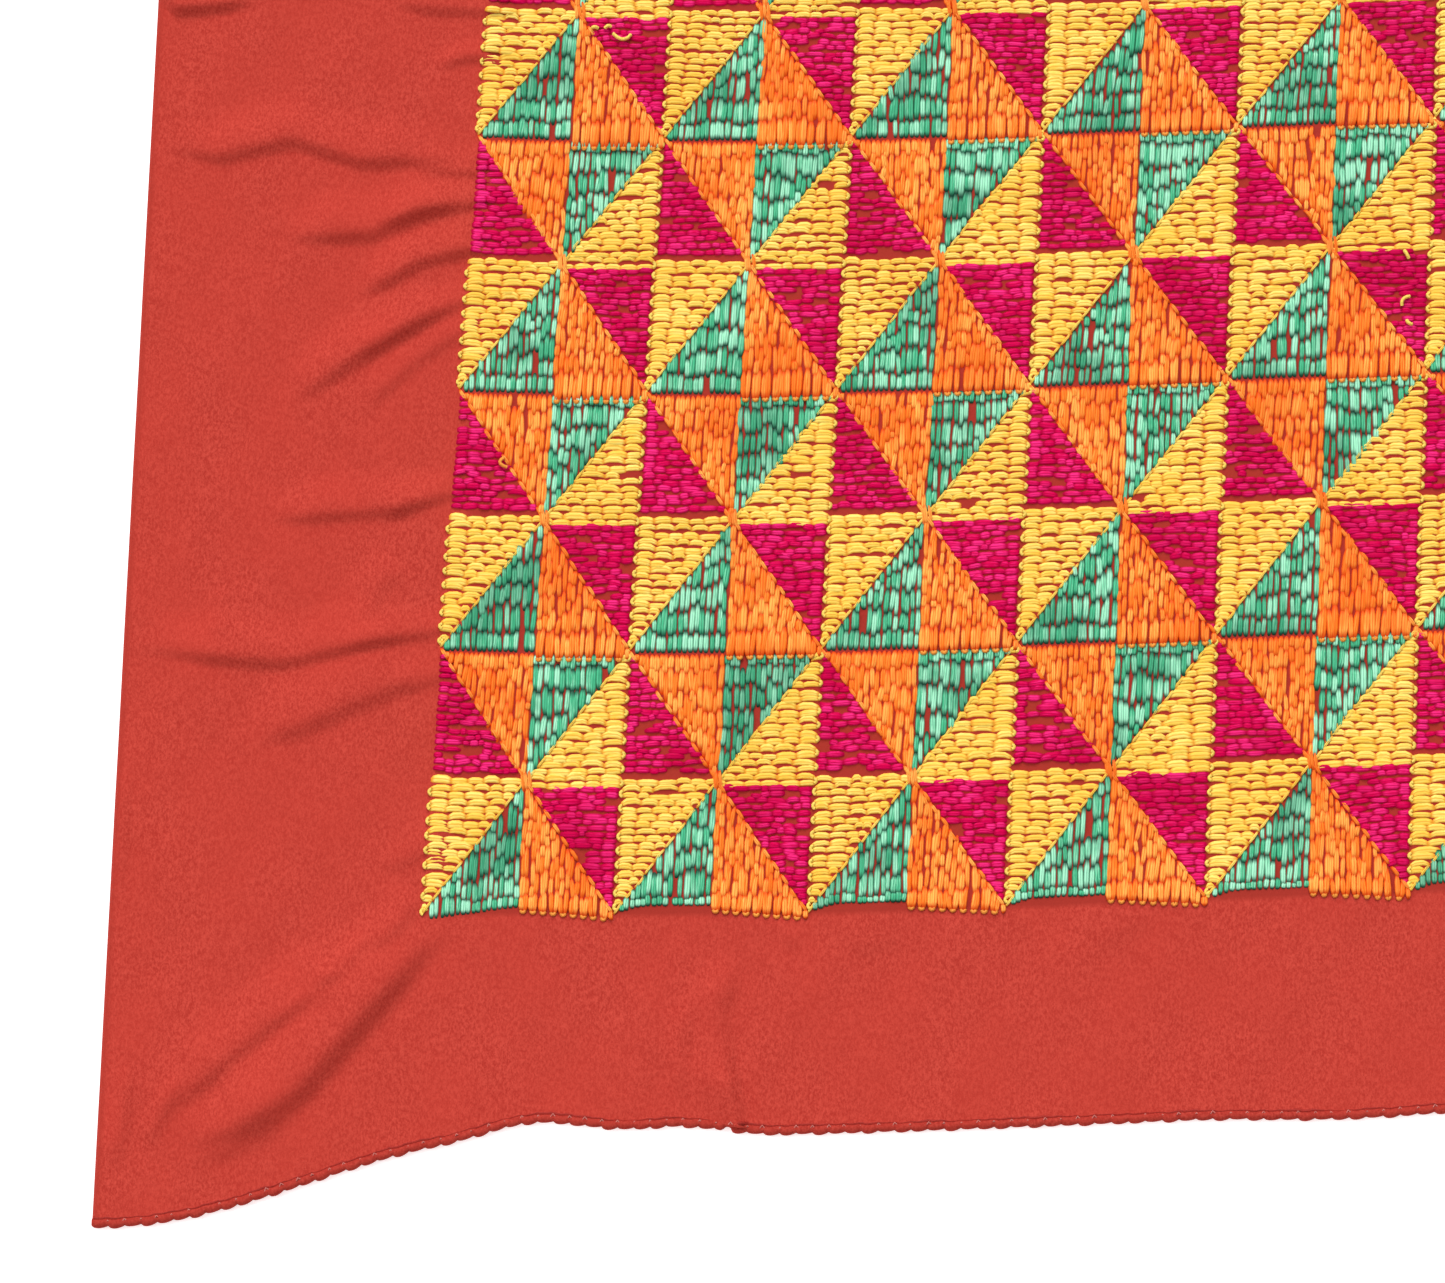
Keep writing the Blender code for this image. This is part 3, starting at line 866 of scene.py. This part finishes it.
def waist_of(i, row, chance):
    """The orange threads that run through the point where two orange triangles meet."""
    s, t = SIDE_BORDER + i * CELL_WIDTH, END_BORDER + row * BAND_HEIGHT
    found = []
    for offset in (-0.75, 0.1, 0.95):
        high = 3.2 + chance.uniform(-0.5, 0.5)
        low = 2.6 + chance.uniform(-0.5, 0.5)
        found.append((s + offset - 0.5, t + high, s + offset + 0.4, t - low, 1.1, 0.95 + 0.1 * offset, 0.0, 0.0))
    return found


TURN_POINTS = 6
STATIONS = np.array([0.0, 0.10, 0.32, 0.68, 0.90, 1.0])
FULLNESS = np.array([0.0, 0.55, 1.0, 1.0, 0.55, 0.0])
HUMP = np.array([-0.15, 0.55, 0.97, 0.97, 0.55, -0.15])


def stitch_mesh(name, rows, kind, material):
    """Stitches as arched strands of floss with a slight groove down the middle."""
    rows = np.array(rows)
    s0, t0, s1, t1, width, height, arch, lift = rows.T
    below = upper_face(s0, t0)[:, None] * (1 - STATIONS) + upper_face(s1, t1)[:, None] * STATIONS
    x0, y0 = place(s0, t0)
    x1, y1 = place(s1, t1)
    chance = np.random.default_rng(len(rows))
    run = np.hypot(x1 - x0, y1 - y0)
    nx, ny = -(y1 - y0) / run, (x1 - x0) / run
    bend = chance.normal(0.0, 0.8 * kind.wander, len(rows)) + arch * np.sign(ny)
    across = np.array([-0.5, -0.27, 0.0, 0.27, 0.5])
    profile = np.array([-0.12, 0.92, kind.groove, 0.92, -0.12])
    slimness = kind.taper + (1.0 - kind.taper) * FULLNESS
    u = STATIONS[None, :, None]
    side = across[None, None, :] * width[:, None, None] * slimness[None, :, None]
    side = side + (bend[:, None] * 4 * STATIONS * (1 - STATIONS))[:, :, None]
    x = x0[:, None, None] + (x1 - x0)[:, None, None] * u + nx[:, None, None] * side
    y = y0[:, None, None] + (y1 - y0)[:, None, None] * u + ny[:, None, None] * side
    hump = HUMP[None, :, None] * height[:, None, None]
    z = (below + lift[:, None] * (1 - STATIONS))[:, :, None] + np.where(hump > 0, hump * profile, hump)
    count, stations, corners = x.shape
    numbers = np.arange(count)
    place_u = (numbers % 61)[:, None, None] + 0.02 + 0.96 * u + 0 * x
    place_v = (numbers // 61)[:, None, None] + 0.5 + 0.96 * across[None, None, :] + 0 * x
    points = from_corner(x.ravel(), y.ravel(), z.ravel())
    one = grid_quads(stations, corners)
    quads = (one[None] + numbers[:, None, None] * stations * corners).reshape(-1, 4)
    maps = {"OFBake": plan_map(points), "Thread": np.stack([place_u.ravel(), place_v.ravel()], axis=1)}
    return new_mesh(name, points, quads, material, maps)


def tube_mesh(name, paths, radius, material, sides=5):
    """Threads as tubes along paths of points, all with the same number of points."""
    paths = np.asarray(paths, float)
    ahead = np.gradient(paths, axis=1)
    ahead /= np.linalg.norm(ahead, axis=2, keepdims=True)
    level = np.cross(ahead, (0.0, 0.0, 1.0))
    level /= np.maximum(np.linalg.norm(level, axis=2, keepdims=True), 1e-6)
    upward = np.cross(level, ahead)
    angle = np.linspace(0.0, math.tau, sides, endpoint=False)
    ring = (np.cos(angle)[:, None] * level[:, :, None, :] + np.sin(angle)[:, None] * upward[:, :, None, :])
    spots = paths[:, :, None, :] + radius * ring
    count, stations = paths.shape[:2]
    k = np.arange(stations - 1)[:, None] * sides
    a, b = np.arange(sides)[None, :], (np.arange(sides)[None, :] + 1) % sides
    one = np.stack([k + a, k + b, k + sides + b, k + sides + a], axis=-1).reshape(-1, 4)
    quads = (one[None] + (np.arange(count) * stations * sides)[:, None, None]).reshape(-1, 4)
    flat = spots.reshape(-1, 3)
    points = from_corner(flat[:, 0], flat[:, 1], flat[:, 2])
    return new_mesh(name, points, quads, material, {"OFBake": plan_map(points)})


def turns_of(half):
    """The loops at a triangle's base, where each thread turns back into the next one."""
    starts = threads_of(half)
    side, _ = sides_of(half)
    angle = np.linspace(0.0, math.pi, TURN_POINTS)
    drawn_in = 0.28 if half.colour == "yellow" else 0.18
    raised = 0.30 if half.colour == "yellow" or half.j == 0 else 0.75
    paths = []
    for pair, (first, second) in enumerate(zip(starts[0::2], starts[1::2])):
        middle, half_gap = (first + second) / 2, (second - first) / 2 - drawn_in + 0.08 * uneven(half, pair + 7)
        base = base_of(half, min(max(middle, 0.0), side), pair)
        s, t = in_plan(half, middle - np.cos(angle) * half_gap, base + 0.55 - np.sin(angle) * 0.60)
        x, y = place(s, t)
        paths.append(np.stack([x, y, upper_face(s, t) + raised], axis=1))
    return paths


def loose_end(stray):
    """The path of a loose end: a curve through its three points."""
    share = np.linspace(0.0, 1.0, TURN_POINTS)[:, None]
    first, middle, last = np.array(stray.path)
    level = (1 - share) * (1 - 2 * share) * first + 4 * share * (1 - share) * middle + share * (2 * share - 1) * last
    height = CLOTH_THICK + 0.9 + 0.5 * np.sin(math.pi * share)
    return np.concatenate([level, height], axis=1)


def near_embroidery():
    """The embroidery beside the near left corner, stitch by stitch."""
    chance = random.Random(5)
    rows = {colour: [] for colour in FLOSS}
    turns = {"yellow": [], "orange": []}
    for half in half_cells(range(NEAR_CELLS), range(NEAR_BANDS)):
        rows[half.colour] += stitches_of(half, chance)
        if half.colour in EDGE_THREAD:
            rows[half.colour] += edge_thread_of(half, chance)
        if half.colour == "yellow" or (half.colour == "orange" and half.base_low):
            turns[half.colour] += turns_of(half)
    for i in range(1, NEAR_CELLS, 2):
        for row in range(1, NEAR_BANDS, 2):
            rows["orange"] += waist_of(i, row, chance)
    for stray in STRAYS:
        turns[stray.colour].append(loose_end(stray))
    pieces = []
    for colour, found in rows.items():
        material = floss_material(colour, False)
        pieces.append(stitch_mesh(f"floss_{colour}_near", found, DARNING[colour], material))
    for colour, paths in turns.items():
        kind = FLOSS[colour]
        # The turns take a colour halfway from the floss's body to its painted highlight.
        material = thread_material(f"floss_{colour}_turns", [(a + b) / 2 for a, b in zip(kind.body, kind.glint)])
        pieces.append(tube_mesh(f"floss_{colour}_turns", paths, 0.46, material))
    return pieces


def row_patch(half):
    """One triangle of floss as low ridges: points (s, t, height, u, v), three lines to a ridge."""
    kind = DARNING[half.colour]
    side, depth = sides_of(half)
    widens = (half.hypotenuse == "rises") == half.base_low
    count = round(depth / kind.length)
    found = []
    for row in range(count):
        for share in (0.0, 0.5, 1.0):
            at_rim = row + share in (0, count)
            height = 0.05 if at_rim else 1.0 if share == 0.5 else 0.6
            out = (row + share) * depth / count
            cut = side * out / depth
            for across in (cut, side) if widens else (0.0, side - cut):
                found.append(in_plan(half, across, out) + (
                    height * kind.height, row + 0.02 + 0.96 * share + half.j * 13,
                    half.i * 31 + across / kind.pitch))
    return found


def further_embroidery():
    """The rest of the embroidery, as raised rows whose stitches are in the material."""
    chosen = {colour: [] for colour in FLOSS}
    for half in half_cells(range(CELLS), range(BANDS)):
        if half.i >= NEAR_CELLS or half.j >= NEAR_BANDS:
            chosen[half.colour].append(half)
    pieces = []
    for colour, halves in chosen.items():
        points = np.array([point for half in halves for point in row_patch(half)])
        x, y = place(points[:, 0], points[:, 1])
        spots = from_corner(x, y, CLOTH_THICK + points[:, 2])
        line = np.arange(0, len(points), 6)
        quads = np.concatenate([np.stack([line + k, line + k + 1, line + k + 3, line + k + 2], axis=1)
                                for k in (0, 2)])
        a, b, c = (spots[quads[:, k]] for k in range(3))
        downward = np.cross(b - a, c - a)[:, 2] < 0
        quads[downward] = quads[downward][:, ::-1]
        piece = new_mesh(f"floss_{colour}_field", spots, quads, floss_material(colour, True),
                         {"OFBake": plan_map(spots), "Thread": points[:, 3:5]})
        pieces.append(piece)
    return pieces


# The rolled hems

SCALLOP = 4.05
SCALLOP_DEPTH = 0.42
NOTCH = 161.0               # where the near hem is caught up
THREAD_RADIUS = 0.13
# The binding thread's pale pink is partly its own colour and partly painted glint.
PINK_THREAD = (0.64, 0.21, 0.18)
SEAM_RADIUS = 0.52
# The seam's dark red is partly its thread and partly painted shade in the groove beside the roll.
SEAM_RED = (0.36, 0.026, 0.018)


def hem_frame(t, outward, s):
    """Points along a hem, the direction that leads out of the cloth, and how full the scallop is there."""
    x, y = place(s, np.full_like(s, t))
    dx, dy = np.gradient(x), np.gradient(y)
    run = np.hypot(dx, dy)
    share = (s / WIDTH * round(WIDTH / SCALLOP)) % 1.0
    number = np.floor(s / WIDTH * round(WIDTH / SCALLOP))
    swell = np.sin(math.pi * share ** 0.75) ** 0.8 * (0.92 + 0.34 * np.sin(2.4 * number))
    if outward > 0:
        swell = swell - 1.6 * bell((s - NOTCH) / 1.6)
    return x, y, dy / run * outward, -dx / run * outward, swell


def hem(node, t, outward):
    """A rolled hem, drawn in at every turn of its binding thread so that its edge is scalloped."""
    per_scallop, sides = 7, 8
    s = np.linspace(0.0, WIDTH, round(WIDTH / SCALLOP) * per_scallop + 1)
    x, y, nx, ny, swell = hem_frame(t, outward, s)
    radius = HEM_RADIUS * (0.84 + 0.16 * swell)
    angle = np.linspace(0.0, math.tau, sides, endpoint=False)
    out = np.cos(angle)[None, :] * radius[:, None] + (SCALLOP_DEPTH * (swell - 0.6))[:, None]
    up = (1.0 + np.sin(angle)[None, :] * 0.86) * radius[:, None] + raised_by(FOLDS, x, y)[:, None]
    px = x[:, None] + nx[:, None] * out
    py = y[:, None] + ny[:, None] * out
    points = from_corner(px.ravel(), py.ravel(), up.ravel())
    first = np.arange(len(s) - 1)[:, None] * sides
    ring, after = np.arange(sides), (np.arange(sides) + 1) % sides
    quads = np.stack([first + ring, first + after, first + sides + after, first + sides + ring], axis=-1)
    quads = quads.reshape(-1, 4)
    if outward > 0:
        quads = quads[:, ::-1]
    piece = new_mesh(f"{node}_shell_edge", points, quads, crepe_material(f"{node}_rolled", 0.80),
                     {"OFBake": plan_map(points)})
    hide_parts(node)
    return piece


def hem_seam(name, t, outward, material):
    """The line of stitching that holds the roll down, as a dark red tube that is partly painted shade in the groove
    beside the roll.
    """
    s = np.linspace(0.4, WIDTH - 0.4, round(WIDTH / SCALLOP) * 5 + 1)
    x, y, nx, ny, swell = hem_frame(t, outward, s)
    out = -1.45 + 0.30 * swell
    path = np.stack([x + nx * out, y + ny * out, upper_face(s, np.full_like(s, t)) - 0.40], axis=1)
    return tube_mesh(name, path[None], SEAM_RADIUS, material, sides=5)


def hem_thread(name, t, outward, material):
    """The pale thread that shows beside each dip of the edge, as a small uneven peak; its pale pink is partly
    painted glint.
    """
    count = round(WIDTH / SCALLOP)
    s = np.linspace(0.0, WIDTH, count + 1)[1:-1]
    x, y, nx, ny, _ = hem_frame(t, outward, s)
    chance = np.random.default_rng(count)
    base = upper_face(s, np.full_like(s, t))
    size = chance.uniform(0.15, 1.0, len(s))
    lean = chance.uniform(-0.3, 0.3, len(s))
    paths = []
    for out, up, aside in ((-0.40, 0.32, -0.60), (-0.85, 0.38, -0.30), (-1.25, 0.36, 0.0), (-0.90, 0.38, 0.30),
                           (-0.60, 0.32, 0.62)):
        out = -0.55 + (out + 0.55) * size
        along = (aside * size + lean) * outward
        paths.append(np.stack([x + nx * out - ny * along, y + ny * out + nx * along, base + up], axis=1))
    return tube_mesh(name, np.stack(paths, axis=1), THREAD_RADIUS, material, sides=4)


def hems():
    # The pale binding thread is partly painted glint.
    pale = thread_material("pale_thread_and_painted_glint", PINK_THREAD)
    # The seam's material carries painted shade as well as the thread's colour.
    dark = thread_material("seam_thread_and_painted_shade", SEAM_RED)
    pieces = []
    for node, t, outward in (("hem_near", HEM_RADIUS, 1.0), ("hem_far", LENGTH - HEM_RADIUS, -1.0)):
        pieces.append(hem(node, t, outward))
        pieces.append(hem_seam(f"{node}_seam", t, outward, dark))
        pieces.append(hem_thread(f"{node}_thread", t, outward, pale))
    return pieces


# The floor, the lights and the camera

def floor():
    bpy.ops.mesh.primitive_plane_add(size=44.0, location=(0.0, 0.0, -0.0004))
    piece = bpy.context.object
    piece.name = "floor"
    n = Nodes("pale_floor")
    place_in_object = n.node("ShaderNodeTexCoord").outputs["Object"]
    tone = n.noise(place_in_object, 3.0)
    n.put(n.shader.inputs["Base Color"], n.mix(tone, (0.93, 0.93, 0.93, 1.0), (0.95, 0.95, 0.95, 1.0)))
    n.shader.inputs["Roughness"].default_value = 0.9
    n.shader.inputs["Specular IOR Level"].default_value = 0.1
    n.shader.inputs["Emission Color"].default_value = (1.0, 1.0, 1.0, 1.0)
    n.shader.inputs["Emission Strength"].default_value = 0.52
    piece.data.materials.append(n.material)


def soft_sun(name, azimuth, elevation, level, spread):
    """A wide soft light, given the share of the light on a level white surface that comes from it."""
    light = bpy.data.lights.new(name, "SUN")
    light.angle = math.radians(spread)
    light.energy = level * math.pi / math.sin(math.radians(elevation))
    lamp = bpy.data.objects.new(name, light)
    bpy.context.scene.collection.objects.link(lamp)
    lamp.rotation_euler = (math.radians(90.0 - elevation), 0.0, math.radians(azimuth))


def lights():
    """Soft light from the top of the picture, with a weaker one from the left and an even white room."""
    soft_sun("light_from_the_top", 180.0, 42.0, 0.52, 32.0)
    soft_sun("light_from_the_left", 262.0, 42.0, 0.20, 34.0)
    world = bpy.data.worlds.new("studio")
    world.use_nodes = True
    world.node_tree.nodes["Background"].inputs["Color"].default_value = (1.0, 1.0, 1.0, 1.0)
    world.node_tree.nodes["Background"].inputs["Strength"].default_value = 0.54
    bpy.context.scene.world = world
    bpy.context.scene.view_settings.view_transform = "Standard"


def camera(target):
    """The camera looks down at the corner, tilted from straight above and turned with the selvedge."""
    distance = FOCAL_PIXELS * MM_PER_PIXEL * MM
    lens = bpy.data.cameras.new("camera")
    lens.sensor_width = 36.0
    lens.lens = 36.0 * FOCAL_PIXELS / FRAME_WIDTH
    lens.clip_end = 50.0
    view = bpy.data.objects.new("camera", lens)
    bpy.context.scene.collection.objects.link(view)
    back = distance * math.sin(TILT)
    view.location = (target[0] + back * math.sin(ROLL), target[1] - back * math.cos(ROLL),
                     distance * math.cos(TILT))
    view.rotation_euler = (TILT, 0.0, ROLL)
    bpy.context.scene.camera = view


def build():
    cloth = ground_cloth()
    floss = near_embroidery() + further_embroidery()
    floss + hems()
    target = from_corner(np.array(LOOKS_AT[0]), np.array(LOOKS_AT[1]), np.array(0.0)).tolist()
    floor()
    lights()
    camera(target)


build()
